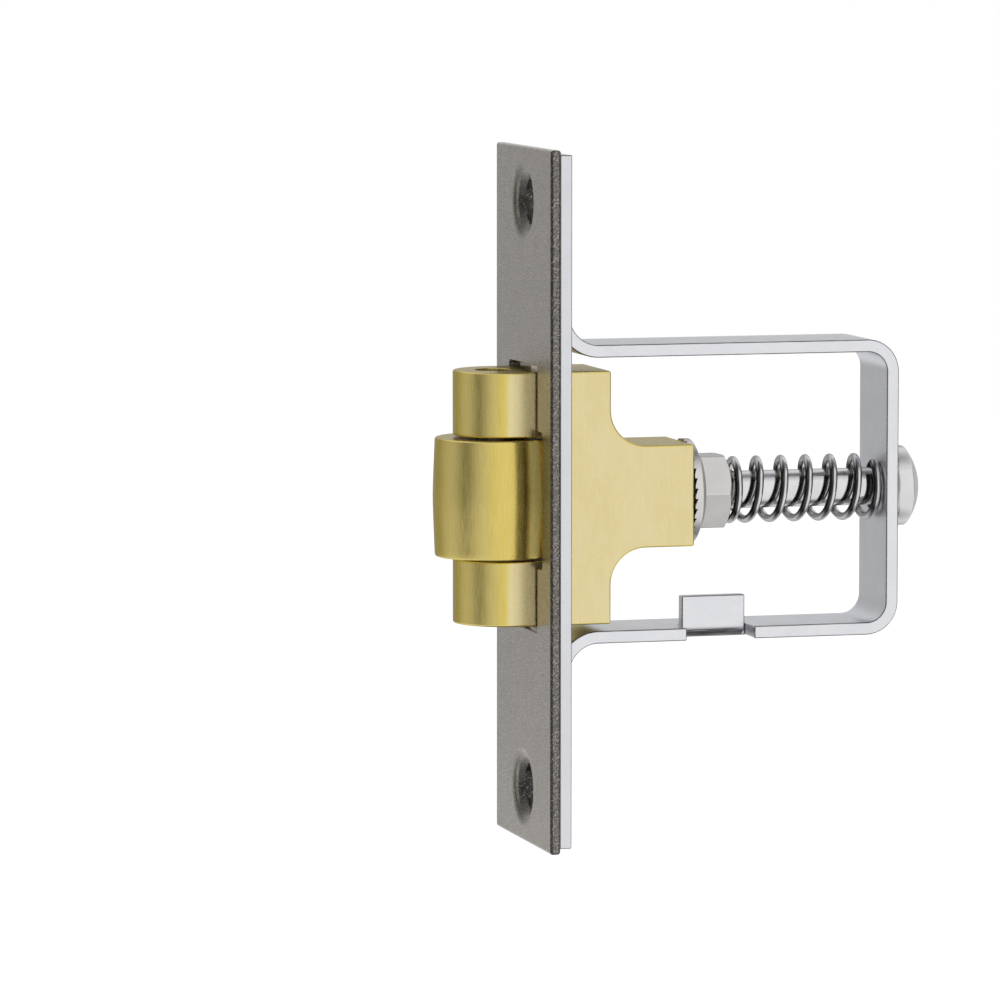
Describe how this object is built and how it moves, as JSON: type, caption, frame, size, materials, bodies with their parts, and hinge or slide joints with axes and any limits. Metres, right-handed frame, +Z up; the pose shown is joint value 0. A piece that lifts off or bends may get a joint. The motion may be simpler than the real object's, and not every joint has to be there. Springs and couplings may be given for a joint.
{
  "type": "mortice roller catch",
  "caption": "Mortice roller catch: a sprung brass roller in a bent steel frame, set by a screw with a serrated lock nut, behind a pewter face plate.",
  "frame": {"origin": "centre of the face plate's front face, which lies flush with the door's edge", "axes": "+X into the door along the adjusting screw, +Y across the face plate, +Z up along its length"},
  "size_m": [0.0497, 0.02, 0.0686],
  "materials": {
    "antique_pewter": "antique pewter, dark with rubbed bronze edges",
    "zinc_plate": "bright zinc plating with faint scratches",
    "brushed_brass": "brushed",
    "bright_steel": "bright nickel-plated"
  },
  "bodies": {
    "frame": {"face_plate": "antique_pewter", "back_plate": "zinc_plate", "bracket": "zinc_plate", "compression_spring": "bright_steel"},
    "carriage": {"roller_carrier": "brushed_brass", "roller_pin": "bright_steel", "adjusting_screw": "bright_steel", "flange_nut": "bright_steel"},
    "roller": {"roller": "brushed_brass"}
  },
  "joints": [
    {"name": "plunge", "type": "slide", "parent": "frame", "child": "carriage", "axis": [1, 0, 0], "range_m": [0, 0.0078], "stiffness_N_per_m": 3400, "springref_m": -0.003, "deforming": ["compression_spring"]},
    {"name": "roller_spin", "type": "hinge", "parent": "carriage", "child": "roller", "pos_m": [-0.0031, 0, 0], "axis": [0, 0, 1], "continuous": true}
  ]
}
